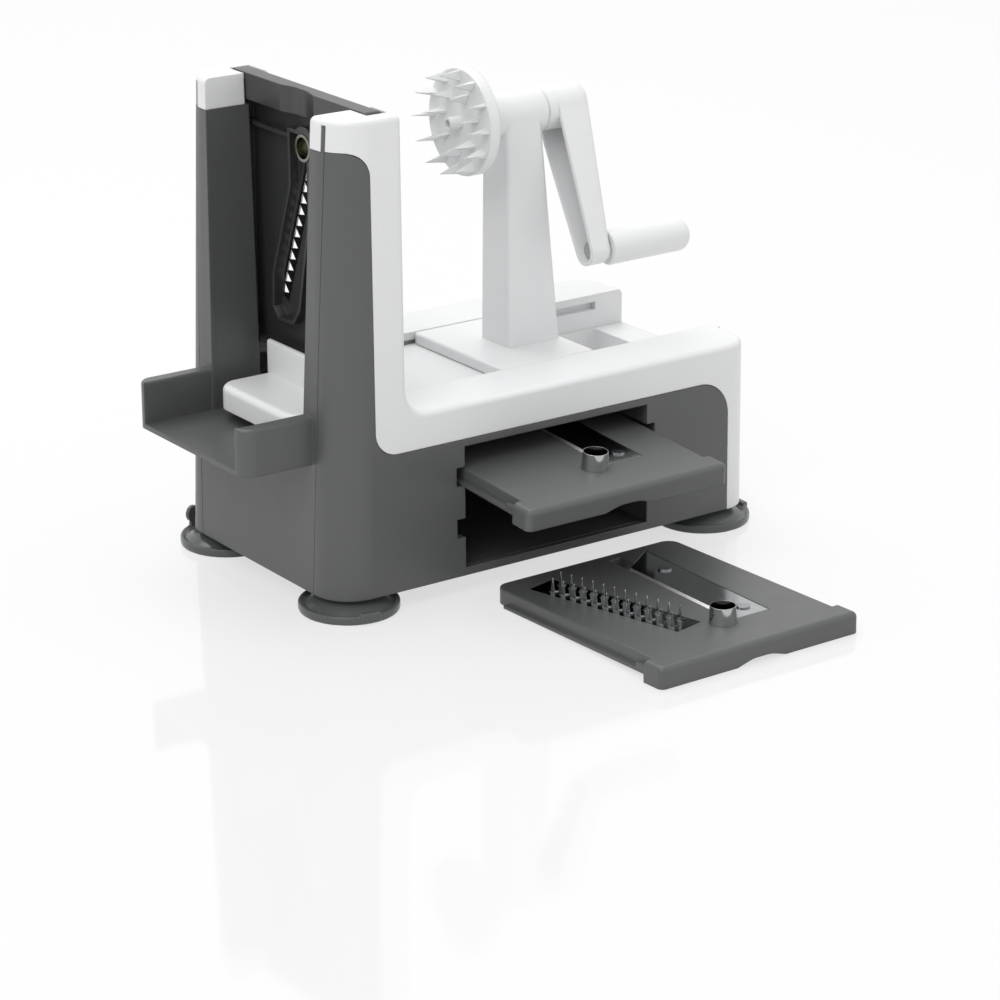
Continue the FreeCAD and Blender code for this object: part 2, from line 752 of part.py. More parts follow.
grip_outline = rounded_wire(
    [Vec(grip_start, 0, 0), Vec(grip_end, 0, 0), Vec(grip_end, 0, grip_end_radius),
     Vec(grip_start, 0, grip_radius)], [0, 0, grip_round, 0.8])
grip = Part.Face(grip_outline).revolve(Vec(0, 0, 0), Vec(1, 0, 0), 360)
grip.translate(Vec(0, pin_y, pin_z))
handle_grip = grip.cut(rod(pin_radius + pin_fit, pin_end + 0.5 - grip_start + 1,
                           Vec(grip_start - 1, pin_y, pin_z), Vec(1, 0, 0)))

# blade plates

body_low = plate_height - plate_body_height
skin_low = plate_height - plate_skin


def slanted(near, far, half_near, half_far, round_r, z0, z1):
    # strip between two points of the plate, with rounded ends
    run = Vec(far[0] - near[0], far[1] - near[1], 0).normalize()
    side = Vec(run.y, -run.x, 0)
    ends = [Vec(near[0], near[1], z0), Vec(far[0], far[1], z0)]
    points = [ends[0] + side * half_near, ends[1] + side * half_far,
              ends[1] - side * half_far, ends[0] - side * half_near]
    return prism(points, [round_r] * 4, Vec(0, 0, z1 - z0))


def raised(face, z0, z1):
    solid = face.extrude(Vec(0, 0, z1 - z0))
    solid.translate(Vec(0, 0, z0))
    return solid


def plate_frame(comb, cutter):
    body = flat_prism([(-plate_half, flange_depth - 1), (plate_half, flange_depth - 1),
                       (plate_half, plate_length), (-plate_half, plate_length)],
                      [0, 0, plate_corner, plate_corner], body_low, plate_height)
    body = round_edges(body, 0.8, lambda e: e.BoundBox.ZMin > plate_height - 0.1)
    hollow = flat_prism([(-plate_half + plate_rim, flange_depth), (plate_half - plate_rim, flange_depth),
                         (plate_half - plate_rim, plate_length - plate_rim),
                         (-plate_half + plate_rim, plate_length - plate_rim)],
                        [0, 0, plate_corner - plate_rim, plate_corner - plate_rim], 0, skin_low)
    flange = box(-flange_half, flange_half, 0, flange_depth, 0, plate_height)
    flange = round_edges(flange, flange_corner, lambda e: upright(e) and e.CenterOfMass.y < 0.1)
    flange = round_edges(flange, flange_round, lambda e: (
        e.BoundBox.ZMin > plate_height - 0.1 and e.CenterOfMass.y < flange_corner))
    run = grip_recess_half
    out = run + grip_recess_slope
    recess = prism([Vec(-out, -1, -5), Vec(out, -1, -5), Vec(out, -1, 0), Vec(run, -1, grip_recess_height),
                    Vec(-run, -1, grip_recess_height), Vec(-out, -1, 0)], [0, 0, 0, grip_recess_round, grip_recess_round, 0],
                   Vec(0, flange_depth + 2, 0))
    parts = [flange]
    for side in (-1, 1):
        inside = side * (plate_half - 0.5)
        out = side * rail_half
        parts.append(box(min(inside, out), max(inside, out), flange_depth - 1,
                         plate_length - plate_corner - 4, body_low, body_low + rail_height))
        parts.append(box(min(inside, out), max(inside, out), flange_depth - 1,
                         flange_depth + rail_stop_length, body_low, body_low + plate_body_height / 2))
    frame = body.cut(hollow).fuse(parts).cut(recess)
    frame = frame.fuse(rod(ring_boss, plate_body_height - 0.5, Vec(0, ring_distance, body_low + 0.5),
                           Vec(0, 0, 1)).cut(box(-big, big, -big, big, plate_height, big)))
    # rib across the back, and a rim round the throat
    rib_v = ring_distance - back_rib
    frame = frame.fuse(box(-plate_half + 1, plate_half - 1, rib_v - 1, rib_v + 1,
                           body_low + 1.5, skin_low + 0.5))
    frame = frame.fuse(flat_prism(throat_points(cutter, 2.2), [0] * 4, body_low + 1.5, skin_low + 0.5))
    if comb:
        bounds = [Vec(u, v, 0) for u, v in comb["fence"]]
        fence = Part.Face(rounded_wire(bounds, comb["corners"]))
        inside = fence.makeOffset2D(-fence_wall)
        low = body_low + 0.5
        frame = frame.fuse(raised(fence, low, skin_low + 0.5)).cut(raised(inside, 0, skin_low))
        pocket = slanted(comb["near"], comb["far"], comb["half"], comb["half"], 1.0,
                         plate_height - comb_thickness - 0.3, big)
        opening = slanted(comb["near"], comb["far"], comb["half"] - comb_seat,
                          comb["half"] - comb_seat, 1.0, 0, big)
        frame = frame.cut([pocket, opening.common(raised(inside, 0, big))])
    frame = frame.cut(flat_prism(throat_points(cutter, 0), [0] * 4, 0, big))
    frame = frame.cut(flat_prism(blade_points(cutter, 0.15), [0] * 4, plate_height - blade_ledge, big))
    return frame.cut(rod(ring_radius, 40, Vec(0, ring_distance, 0), Vec(0, 0, 1))).removeSplitter()


def blade_points(cutter, grow):
    # the blade leans off the plate's axis; its far end is cut askew
    left = cutter["edge"] - grow
    right = cutter["edge"] + blade_width + grow
    lean = cutter["lean"]
    short = lean * (1 - blade_skew / (blade_end - blade_start))
    return [(left, blade_start - grow), (right, blade_start - grow),
            (right + lean, blade_end + grow), (left + short, blade_end - blade_skew + grow)]


def throat_points(cutter, grow):
    left = cutter["edge"] - 0.6 - grow
    right = cutter["edge"] + throat_width + grow
    lean = cutter["lean"] * (cutter["throat_end"] - blade_start) / (blade_end - blade_start)
    return [(left, blade_start + 1 - grow), (right, blade_start + 1 - grow),
            (right + lean, cutter["throat_end"] + grow), (left + lean, cutter["throat_end"] + grow)]


def plate_blade(cutter):
    low = plate_height - blade_ledge
    top = low + blade_thickness
    blade = flat_prism(blade_points(cutter, 0), [0] * 4, low, top)
    along = Vec(cutter["lean"], blade_end - blade_start, 0)
    start = Vec(cutter["edge"], blade_start, 0) - along * 0.1
    bevel = [start + Vec(-1, 0, top + 0.01), start + Vec(blade_bevel, 0, top + 0.01),
             start + Vec(-1, 0, low - blade_thickness / blade_bevel)]
    blade = blade.cut(prism(bevel, [0] * 3, along * 1.2))
    return blade.cut(rod(ring_radius + 0.15, 40, Vec(0, ring_distance, 0), Vec(0, 0, 1)))


def plate_ring():
    top = plate_height + ring_rise
    outline = [Vec(ring_bore, 0, body_low), Vec(ring_radius, 0, body_low),
               Vec(ring_radius, 0, plate_height), Vec(ring_top_radius, 0, top),
               Vec(ring_top_radius - ring_edge, 0, top), Vec(ring_bore, 0, top - ring_grind)]
    ring = Part.Face(polygon(outline)).revolve(Vec(0, 0, 0), Vec(0, 0, 1), 360)
    ring.translate(Vec(0, ring_distance, 0))
    return ring


def plate_screws(cutter):
    top = plate_height - blade_ledge + blade_thickness
    middle = cutter["edge"] + throat_width + (blade_width - throat_width) / 2
    heads = []
    for v in (blade_start + screw_inset, blade_end - blade_skew - screw_inset):
        lean = cutter["lean"] * (v - blade_start) / (blade_end - blade_start)
        heads.append(rod(screw_radius, screw_height, Vec(middle + lean, v, top), Vec(0, 0, 1)))
    return Part.Compound(heads)


def plate_comb(comb):
    # strip with windows, and a pointed tooth standing at each window
    near = Vec(comb["near"][0], comb["near"][1], 0)
    far = Vec(comb["far"][0], comb["far"][1], 0)
    run = (far - near).normalize()
    side = Vec(run.y, -run.x, 0)
    low = plate_height - comb_thickness - 0.15
    top = low + comb_thickness
    strip = slanted(comb["near"], comb["far"], comb["half"] - 0.15, comb["half"] - 0.15, 0.8, low, top)
    length = (far - near).Length
    pitch = (length - 2 * comb["margin"]) / comb["teeth"]
    windows = []
    teeth = []
    half = comb["window"] / 2
    slim = comb["tooth"] / 2
    for i in range(comb["teeth"]):
        for lane in comb["lanes"]:
            middle = near + run * (comb["margin"] + pitch * (i + lane["stagger"]))
            root = middle + side * lane["base"]
            corners = [root - run * half, root + run * half, root + side * lane["throw"]]
            for point in corners:
                point.z = low - 1
            windows.append(prism(corners, [0] * 3, Vec(0, 0, 4)))
            stand = middle + side * lane["stand"]
            tip = stand - run * (slim * 0.3)
            corners = [stand - run * slim, stand + run * slim, tip]
            for point, z in zip(corners, (top - 0.2, top - 0.2, top + comb["height"])):
                point.z = z
            teeth.append(prism(corners, [0] * 3, side * comb_thickness))
    return strip.cut(windows).fuse(teeth).removeSplitter()


fine_comb = {"near": (-1.2, 35.9), "far": (-28.2, 110.1), "half": 5.9, "margin": 0.8, "teeth": 12,
             "window": 5.6, "tooth": 3.6, "height": 5.0,
             "lanes": [{"base": -3.7, "throw": 5.0, "stand": 1.9, "stagger": 0.5}],
             "fence": [(-14.2, 21.0), (-13.8, 49.2), (-30.4, 96.0), (-31.4, 114.0), (-25.6, 119.4),
                      (-11.9, 118.6), (-5.6, 110.3), (4.6, 62.0), (4.6, 21.0)],
             "corners": [0, 8.0, 8.0, 2.0, 2.0, 2.0, 2.0, 4.0, 0]}
coarse_comb = {"near": (-15.7, 33.6), "far": (-35.7, 122.2), "half": 8.8, "margin": 5.8, "teeth": 12,
               "window": 5.2, "tooth": 2.4, "height": 8.0,
               "lanes": [{"base": -5.4, "throw": 5.0, "stand": -6.2, "stagger": 0.0},
                         {"base": 3.6, "throw": 4.2, "stand": 2.8, "stagger": 0.4}],
               "fence": [(-25.6, 29.6), (-46.5, 122.1), (-25.9, 126.7), (-5.0, 34.2)],
               "corners": [3.0, 5.0, 5.0, 3.0]}

# the blade's cutting edge at its near end, and how far it leans by its far end
straight_blade = {"edge": 6.9, "lean": 0.0, "throat_end": 120.0}
leaning_blade = {"edge": 5.9, "lean": 5.1, "throat_end": 128.0}


pieces = {}


def build_plate(name, comb, cutter, place):
    parts = {"frame": plate_frame(comb, cutter), "blade": plate_blade(cutter),
             "core_ring": plate_ring(), "screws": plate_screws(cutter)}
    if comb:
        parts["comb"] = plate_comb(comb)
    for kind, shape in parts.items():
        moved = shape.copy()
        moved.Placement = place.multiply(moved.Placement)
        pieces[name + "_" + kind] = moved


def axes_place(u, v, w, origin):
    matrix = FreeCAD.Matrix(u.x, v.x, w.x, origin.x, u.y, v.y, w.y, origin.y,
                            u.z, v.z, w.z, origin.z, 0, 0, 0, 1)
    return FreeCAD.Placement(matrix)


working_x = tower_rear - shell_wall - plate_slot_gap - plate_height
working_place = axes_place(Vec(0, -1, 0), Vec(0, 0, -1), Vec(1, 0, 0),
                           Vec(working_x, 0, working_top))
# it hangs on the mouth of the store and slopes down outwards
slope = math.radians(stored_tilt)
stored_y = -side_y(store_level) - stored_pull * math.cos(slope)
stored_z = store_level + stored_lift - stored_pull * math.sin(slope) - body_low * math.cos(slope)
stored_place = FreeCAD.Placement(Vec(store_middle, stored_y, stored_z),
                                 FreeCAD.Rotation(Vec(1, 0, 0), stored_tilt))
# it rests on the inner edge of its flange and on its far end
loose_tilt = math.degrees(math.atan2(body_low, plate_length - flange_depth))
loose_place = FreeCAD.Placement(
    Vec(loose_x, loose_y, flange_depth * math.sin(math.radians(loose_tilt))),
    FreeCAD.Rotation(Vec(0, 0, 1), loose_turn).multiply(FreeCAD.Rotation(Vec(1, 0, 0), -loose_tilt)))

build_plate("working_plate", fine_comb, straight_blade, working_place)
build_plate("stored_plate", None, straight_blade, stored_place)
build_plate("loose_plate", coarse_comb, leaning_blade, loose_place)
pieces.update(suction_feet)
pieces.update({
    "upper_housing": upper_housing, "side_shell_near": side_shell_near,
    "side_shell_far": side_shell_far, "front_frame": front_frame,
    "plate_guide_near": plate_guide_near, "plate_guide_far": plate_guide_far,
    "step_block": step_block, "channel_floor": channel_floor, "plate_store": plate_store,
    "bottom_cover": bottom_cover, "foot_studs": foot_studs, "carriage": carriage,
    "spike_disc": spike_disc, "crank_shaft": crank_shaft, "crank_arm": crank_arm,
    "handle_pin": handle_pin, "handle_grip": handle_grip})

# save, from the middle of the whole outline on the table

outline_box = Part.Compound(list(pieces.values())).optimalBoundingBox(False)
centre = Vec((outline_box.XMin + outline_box.XMax) / 2, (outline_box.YMin + outline_box.YMax) / 2, 0)
print("middle", round(centre.x, 4), round(centre.y, 4), "lowest", round(outline_box.ZMin, 4))
for name, shape in pieces.items():
    shape.translate(-centre)
    shape.exportStep("parts/" + name + ".step")
    print(name, len(shape.Solids), round(shape.Volume), shape.isValid())
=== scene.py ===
import math

import bmesh
import bpy
from mathutils import Matrix, Vector


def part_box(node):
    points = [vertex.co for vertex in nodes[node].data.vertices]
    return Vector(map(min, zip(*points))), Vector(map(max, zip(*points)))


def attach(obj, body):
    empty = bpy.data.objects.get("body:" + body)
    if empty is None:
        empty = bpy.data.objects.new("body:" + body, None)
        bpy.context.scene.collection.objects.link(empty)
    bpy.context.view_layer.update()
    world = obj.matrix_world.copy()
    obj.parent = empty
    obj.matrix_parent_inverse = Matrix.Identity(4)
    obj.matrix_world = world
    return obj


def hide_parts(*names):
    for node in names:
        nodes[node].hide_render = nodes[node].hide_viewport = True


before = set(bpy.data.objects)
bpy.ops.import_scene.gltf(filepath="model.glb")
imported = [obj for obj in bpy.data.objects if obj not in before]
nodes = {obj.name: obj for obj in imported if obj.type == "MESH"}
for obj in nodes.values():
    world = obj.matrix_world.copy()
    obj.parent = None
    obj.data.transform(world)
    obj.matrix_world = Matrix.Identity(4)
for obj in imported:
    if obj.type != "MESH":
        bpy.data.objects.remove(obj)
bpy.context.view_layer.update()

# shader groups shared by the materials

skinDetail = {"grainDetail": 3.0, "grainRoughness": 0.6, "flowSize": 14.0, "flowDetail": 2.0,
              "flowGain": 2.0, "flowHeight": 0.6, "smearSize": 90.0, "smearDetail": 3.0,
              "smearShare": 0.12, "softRadius": 0.0009, "edgeWearAndHighlightGain": 3.0}
steelDetail = {"stretch": (1.0, 0.03, 1.0), "streakDetail": 4.0, "streakRoughness": 0.65,
               "streakShare": 0.5, "markSize": 60.0, "markDetail": 3.0, "markLevel": 0.4,
               "markShare": 0.15, "softRadius": 0.0003, "sheetFacing": 0.96, "boreLimit": -0.002}
midNoise = 0.5
softSamples = 4


def newGroup(name, inputs, outputs):
    group = bpy.data.node_groups.new(name, "ShaderNodeTree")
    for label, kind, value in inputs:
        socket = group.interface.new_socket(name=label, in_out="INPUT", socket_type=kind)
        socket.default_value = value
    for label, kind in outputs:
        group.interface.new_socket(name=label, in_out="OUTPUT", socket_type=kind)
    entry = group.nodes.new("NodeGroupInput")
    leave = group.nodes.new("NodeGroupOutput")
    return group, entry.outputs, leave


def addNode(tree, kind, **settings):
    node = tree.nodes.new(kind)
    for key, value in settings.items():
        setattr(node, key, value)
    return node


def fillNode(tree, node, sources):
    # each source is a socket to link from, or a value to keep
    for target, source in sources.items():
        if isinstance(source, bpy.types.NodeSocket):
            tree.links.new(source, node.inputs[target])
        else:
            node.inputs[target].default_value = source
    return node


def mathNode(tree, operation, first, second):
    node = addNode(tree, "ShaderNodeMath", operation=operation)
    return fillNode(tree, node, {0: first, 1: second}).outputs[0]


def vectorNode(tree, operation, sources):
    return fillNode(tree, addNode(tree, "ShaderNodeVectorMath", operation=operation), sources).outputs


def noiseNode(tree, vector, scale, detail, roughness=0.5):
    return fillNode(tree, addNode(tree, "ShaderNodeTexNoise"), {
        "Vector": vector, "Scale": scale, "Detail": detail, "Roughness": roughness}).outputs["Fac"]


def mixColour(tree, factor, first, second):
    node = addNode(tree, "ShaderNodeMix", data_type="RGBA")
    return fillNode(tree, node, {0: factor, 6: first, 7: second}).outputs[2]


def softNormal(tree, radius):
    node = addNode(tree, "ShaderNodeBevel", samples=softSamples)
    return fillNode(tree, node, {"Radius": radius}).outputs[0]


def buildMouldedSkin():
    # moulded plastic: fine sparked grain, slow flow unevenness, hand smears, and lighter edges that are
    # partly rubbed wear and partly painted highlight
    detail = skinDetail
    group, entry, leave = newGroup("mouldedSkin", [
        ("Colour", "NodeSocketColor", (0.5, 0.5, 0.5, 1)),
        ("Edge Colour", "NodeSocketColor", (0.6, 0.6, 0.6, 1)),
        ("Roughness", "NodeSocketFloat", 0.4),
        ("Grain Size", "NodeSocketFloat", 1400.0),
        ("Grain Amount", "NodeSocketFloat", 0.5),
        ("Unevenness", "NodeSocketFloat", 0.04),
        ("Edge Wear And Highlight", "NodeSocketFloat", 0.3)],
        [("Colour", "NodeSocketColor"), ("Roughness", "NodeSocketFloat"),
         ("Height", "NodeSocketFloat"), ("Soft Normal", "NodeSocketVector")])
    place = addNode(group, "ShaderNodeTexCoord").outputs["Object"]
    grain = noiseNode(group, place, entry["Grain Size"], detail["grainDetail"], detail["grainRoughness"])
    flow = noiseNode(group, place, detail["flowSize"], detail["flowDetail"])
    smear = noiseNode(group, place, detail["smearSize"], detail["smearDetail"])
    soft = softNormal(group, detail["softRadius"])
    face = addNode(group, "ShaderNodeNewGeometry").outputs["Normal"]
    bend = vectorNode(group, "DOT_PRODUCT", {0: soft, 1: face})["Value"]
    # lighter edges: partly rubbed wear, partly painted highlight where rounded edges catch the light
    edge = mathNode(group, "SUBTRACT", 1.0, bend)
    edge = mathNode(group, "MULTIPLY", edge, detail["edgeWearAndHighlightGain"])
    edge = mathNode(group, "MINIMUM", edge, 1.0)
    edge = mathNode(group, "MULTIPLY", edge, entry["Edge Wear And Highlight"])
    drift = mathNode(group, "SUBTRACT", flow, midNoise)
    drift = mathNode(group, "MULTIPLY", drift, entry["Unevenness"])
    level = mathNode(group, "ADD", mathNode(group, "MULTIPLY", drift, detail["flowGain"]), 1.0)
    bright = vectorNode(group, "SCALE", {0: entry["Colour"], "Scale": level})["Vector"]
    rough = mathNode(group, "SUBTRACT", smear, midNoise)
    rough = mathNode(group, "MULTIPLY", rough, detail["smearShare"])
    height = mathNode(group, "MULTIPLY", grain, entry["Grain Amount"])
    height = mathNode(group, "ADD", height, mathNode(group, "MULTIPLY", flow, detail["flowHeight"]))
    fillNode(group, leave, {
        "Colour": mixColour(group, edge, bright, entry["Edge Colour"]),
        "Roughness": mathNode(group, "ADD", rough, entry["Roughness"]),
        "Height": height, "Soft Normal": soft})
    return group


def buildGroundSteel():
    # grinding streaks along one axis, with faint handling marks
    detail = steelDetail
    group, entry, leave = newGroup("groundSteel", [
        ("Colour", "NodeSocketColor", (0.7, 0.7, 0.7, 1)),
        ("Roughness", "NodeSocketFloat", 0.25),
        ("Streak Size", "NodeSocketFloat", 300.0),
        ("Streak Amount", "NodeSocketFloat", 0.2)],
        [("Colour", "NodeSocketColor"), ("Roughness", "NodeSocketFloat"),
         ("Height", "NodeSocketFloat"), ("Soft Normal", "NodeSocketVector")])
    place = addNode(group, "ShaderNodeTexCoord").outputs["Object"]
    along = fillNode(group, addNode(group, "ShaderNodeMapping"), {
        "Vector": place, "Scale": detail["stretch"]}).outputs[0]
    streak = noiseNode(group, along, entry["Streak Size"], detail["streakDetail"],
                       detail["streakRoughness"])
    mark = noiseNode(group, place, detail["markSize"], detail["markDetail"])
    shade = mathNode(group, "SUBTRACT", streak, midNoise)
    shade = mathNode(group, "MULTIPLY", shade, entry["Streak Amount"])
    level = mathNode(group, "ADD", shade, 1.0)
    rough = mathNode(group, "SUBTRACT", mark, detail["markLevel"])
    rough = mathNode(group, "MULTIPLY", rough, detail["markShare"])
    rough = mathNode(group, "ADD", entry["Roughness"], rough)
    rough = mathNode(group, "ADD", rough, mathNode(group, "MULTIPLY", shade, detail["streakShare"]))
    fillNode(group, leave, {
        "Colour": vectorNode(group, "SCALE", {0: entry["Colour"], "Scale": level})["Vector"],
        "Roughness": rough, "Height": streak, "Soft Normal": softNormal(group, detail["softRadius"])})
    return group


def buildGroundEdge():
    # faces that turn away from the sheet's own face are freshly ground: paler and duller
    group, entry, leave = newGroup("groundEdge", [
        ("Colour", "NodeSocketColor", (0.5, 0.5, 0.5, 1)),
        ("Roughness", "NodeSocketFloat", 0.2),
        ("Sheet Axis", "NodeSocketVector", (0, 0, 1)),
        ("Edge Colour", "NodeSocketColor", (0.8, 0.8, 0.8, 1)),
        ("Edge Roughness", "NodeSocketFloat", 0.5)],
        [("Colour", "NodeSocketColor"), ("Roughness", "NodeSocketFloat")])
    face = addNode(group, "ShaderNodeNewGeometry").outputs["True Normal"]
    facing = vectorNode(group, "DOT_PRODUCT", {0: face, 1: entry["Sheet Axis"]})["Value"]
    facing = mathNode(group, "ABSOLUTE", facing, 0.0)
    turned = mathNode(group, "LESS_THAN", facing, steelDetail["sheetFacing"])
    rough = addNode(group, "ShaderNodeMix", data_type="FLOAT")
    fillNode(group, rough, {0: turned, 2: entry["Roughness"], 3: entry["Edge Roughness"]})
    fillNode(group, leave, {
        "Colour": mixColour(group, turned, entry["Colour"], entry["Edge Colour"]),
        "Roughness": rough.outputs[0]})
    return group


def buildPaintedBoreShade():
    # the wall that looks inwards, at the ring's own axis, gets a colour of its own, which is painted
    # shade inside the bore
    group, entry, leave = newGroup("paintedBoreShade", [
        ("Colour", "NodeSocketColor", (0.5, 0.5, 0.5, 1)),
        ("Painted Bore Shade", "NodeSocketColor", (0.03, 0.03, 0.03, 1)),
        ("Centre", "NodeSocketVector", (0, 0, 0))],
        [("Colour", "NodeSocketColor")])
    place = addNode(group, "ShaderNodeTexCoord").outputs["Object"]
    face = addNode(group, "ShaderNodeNewGeometry").outputs["True Normal"]
    away = vectorNode(group, "SUBTRACT", {0: place, 1: entry["Centre"]})["Vector"]
    outward = vectorNode(group, "DOT_PRODUCT", {0: face, 1: away})["Value"]
    inside = mathNode(group, "LESS_THAN", outward, steelDetail["boreLimit"])
    fillNode(group, leave, {"Colour": mixColour(group, inside, entry["Colour"], entry["Painted Bore Shade"])})
    return group


mouldedSkin = buildMouldedSkin()
groundSteel = buildGroundSteel()
groundEdge = buildGroundEdge()
paintedBoreShade = buildPaintedBoreShade()
print("shader groups built")

# materials, and the nodes that wear them

plasticFinishes = {
    "whiteAbs": {"colour": (0.80, 0.805, 0.81, 1), "edge": (0.86, 0.865, 0.87, 1), "rough": 0.34,
                 "grainSize": 900.0, "grain": 0.25, "uneven": 0.01, "edgeWearAndHighlight": 0.4,
                 "bump": 0.00003, "specular": 0.5},
    "greyAbs": {"colour": (0.096, 0.099, 0.098, 1), "edge": (0.125, 0.13, 0.128, 1), "rough": 0.40,
                "grainSize": 1700.0, "grain": 0.7, "uneven": 0.05, "edgeWearAndHighlight": 0.35,
                "bump": 0.00004, "specular": 0.5},
    "greyInner": {"colour": (0.075, 0.078, 0.077, 1), "edge": (0.10, 0.104, 0.103, 1), "rough": 0.45,
                  "grainSize": 1700.0, "grain": 0.7, "uneven": 0.05, "edgeWearAndHighlight": 0.25,
                  "bump": 0.00004, "specular": 0.45},
    # painted shade: a darker grey for the working plate's frame, which stands in the towers' shade
    "paintedShadeAbs": {"colour": (0.032, 0.033, 0.033, 1), "edge": (0.075, 0.078, 0.077, 1), "rough": 0.30,
                "grainSize": 1700.0, "grain": 0.7, "uneven": 0.08, "edgeWearAndHighlight": 0.35,
                "bump": 0.00004, "specular": 0.55},
    "cupRubber": {"colour": (0.100, 0.107, 0.105, 1), "edge": (0.135, 0.142, 0.140, 1), "rough": 0.18,
                  "grainSize": 1100.0, "grain": 0.9, "uneven": 0.10, "edgeWearAndHighlight": 0.3,
                  "bump": 0.00005, "specular": 0.4},
}
steelFinishes = {
    "bladeSteel": {"colour": (0.42, 0.43, 0.44, 1), "rough": 0.10, "streakSize": 500.0,
                   "streak": 0.25, "bump": 0.00001},
    "combSteel": {"colour": (0.16, 0.165, 0.17, 1), "rough": 0.14, "streakSize": 500.0,
                  "streak": 0.20, "bump": 0.00001},
    "screwSteel": {"colour": (0.34, 0.35, 0.36, 1), "rough": 0.14, "streakSize": 700.0,
                   "streak": 0.10, "bump": 0.000004},
    "ringSteel": {"colour": (0.46, 0.465, 0.47, 1), "rough": 0.07, "streakSize": 700.0,
                  "streak": 0.10, "bump": 0.000004},
}


def startMaterial(name):
    material = bpy.data.materials.new(name)
    material.use_nodes = True
    tree = material.node_tree
    return material, tree, tree.nodes["Principled BSDF"]


def linkSkin(tree, shader, skin, bump, colour, rough):
    relief = fillNode(tree, addNode(tree, "ShaderNodeBump"), {
        "Distance": bump, "Strength": 1.0, "Height": skin["Height"], "Normal": skin["Soft Normal"]})
    fillNode(tree, shader, {"Base Color": colour, "Roughness": rough, "Normal": relief.outputs[0]})


def plasticMaterial(name):
    finish = plasticFinishes[name]
    material, tree, shader = startMaterial(name)
    group = addNode(tree, "ShaderNodeGroup", node_tree=mouldedSkin)
    skin = fillNode(tree, group, {
        "Colour": finish["colour"], "Edge Colour": finish["edge"], "Roughness": finish["rough"],
        "Grain Size": finish["grainSize"], "Grain Amount": finish["grain"],
        "Unevenness": finish["uneven"], "Edge Wear And Highlight": finish["edgeWearAndHighlight"]}).outputs
    shader.inputs["Specular IOR Level"].default_value = finish["specular"]
    linkSkin(tree, shader, skin, finish["bump"], skin["Colour"], skin["Roughness"])
    return material


def startSteel(name, label, colour=None):
    finish = steelFinishes[name]
    material, tree, shader = startMaterial(label)
    group = addNode(tree, "ShaderNodeGroup", node_tree=groundSteel)
    skin = fillNode(tree, group, {
        "Colour": colour or finish["colour"], "Roughness": finish["rough"],
        "Streak Size": finish["streakSize"], "Streak Amount": finish["streak"]}).outputs
    shader.inputs["Metallic"].default_value = 1.0
    return material, tree, shader, skin, finish["bump"]


def steelMaterial(name):
    material, tree, shader, skin, bump = startSteel(name, name)
    linkSkin(tree, shader, skin, bump, skin["Colour"], skin["Roughness"])
    return material


def sheetMaterial(name, label, axis, edge):
    # strip steel with ground edges; axis is square to the sheet
    material, tree, shader, skin, bump = startSteel(name, label)
    ground = fillNode(tree, addNode(tree, "ShaderNodeGroup", node_tree=groundEdge), {
        "Colour": skin["Colour"], "Roughness": skin["Roughness"], "Sheet Axis": axis,
        "Edge Colour": edge["colour"], "Edge Roughness": edge["rough"]}).outputs
    linkSkin(tree, shader, skin, bump, ground["Colour"], ground["Roughness"])
    return material


def ringMaterial(label, centre, tone):
    material, tree, shader, skin, bump = startSteel("ringSteel", label, tone["skin"])
    # painted shade: the bore's inward wall takes the painted bore colour
    bore = fillNode(tree, addNode(tree, "ShaderNodeGroup", node_tree=paintedBoreShade), {
        "Colour": skin["Colour"], "Centre": centre, "Painted Bore Shade": tone["bore"]}).outputs
    linkSkin(tree, shader, skin, bump, bore["Colour"], skin["Roughness"])
    return material


materials = {name: plasticMaterial(name) for name in plasticFinishes}
materials.update({name: steelMaterial(name) for name in ("ringSteel", "screwSteel")})

nodeFinish = {
    "whiteAbs": ["upper_housing", "step_block", "channel_floor", "carriage", "spike_disc",
                 "crank_arm", "handle_grip"],
    "greyAbs": ["side_shell_near", "side_shell_far", "front_frame", "stored_plate_frame",
                "loose_plate_frame"],
    # the working plate's frame wears painted shade
    "paintedShadeAbs": ["working_plate_frame"],
    "greyInner": ["plate_guide_near", "plate_guide_far", "plate_store", "bottom_cover"],
    "cupRubber": ["suction_foot_front_near", "suction_foot_front_far", "suction_foot_rear_near",
                  "suction_foot_rear_far"],
    "ringSteel": ["crank_shaft", "handle_pin", "foot_studs"],
    "screwSteel": ["working_plate_screws", "stored_plate_screws", "loose_plate_screws"],
}
# each plate's sheet steel faces its own way; the working plate's ring stands in the towers' shade, so
# its skin colour is painted shade; each ring's bore colour is painted shade as well
shadedRing = {"skin": (0.20, 0.205, 0.18, 1), "bore": (0.24, 0.25, 0.19, 1)}
brightRing = {"skin": (0.46, 0.465, 0.47, 1), "bore": (0.03, 0.03, 0.03, 1)}
plateSteel = {
    "working_plate": {"axis": (1, 0, 0), "ring": shadedRing},
    "stored_plate": {"axis": (0, 0.061, 0.998), "ring": brightRing},
    "loose_plate": {"axis": (0, -0.021, 1), "ring": brightRing},
}
groundEdges = {"blade": {"colour": (0.80, 0.80, 0.79, 1), "rough": 0.50},
               "comb": {"colour": (0.36, 0.365, 0.37, 1), "rough": 0.14}}


def dress(name, material):
    mesh = nodes[name].data
    mesh.materials.clear()
    mesh.materials.append(material)


for finishName, names in nodeFinish.items():
    for name in names:
        dress(name, materials[finishName])
for plate, steel in plateSteel.items():
    for sheet, edge in groundEdges.items():
        if plate + "_" + sheet in nodes:
            label = plate + sheet.capitalize() + "Steel"
            dress(plate + "_" + sheet, sheetMaterial(sheet + "Steel", label, steel["axis"], edge))
    low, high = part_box(plate + "_core_ring")
    dress(plate + "_core_ring", ringMaterial(plate + "RingSteel", (low + high) / 2, steel["ring"]))
print("nodes dressed")


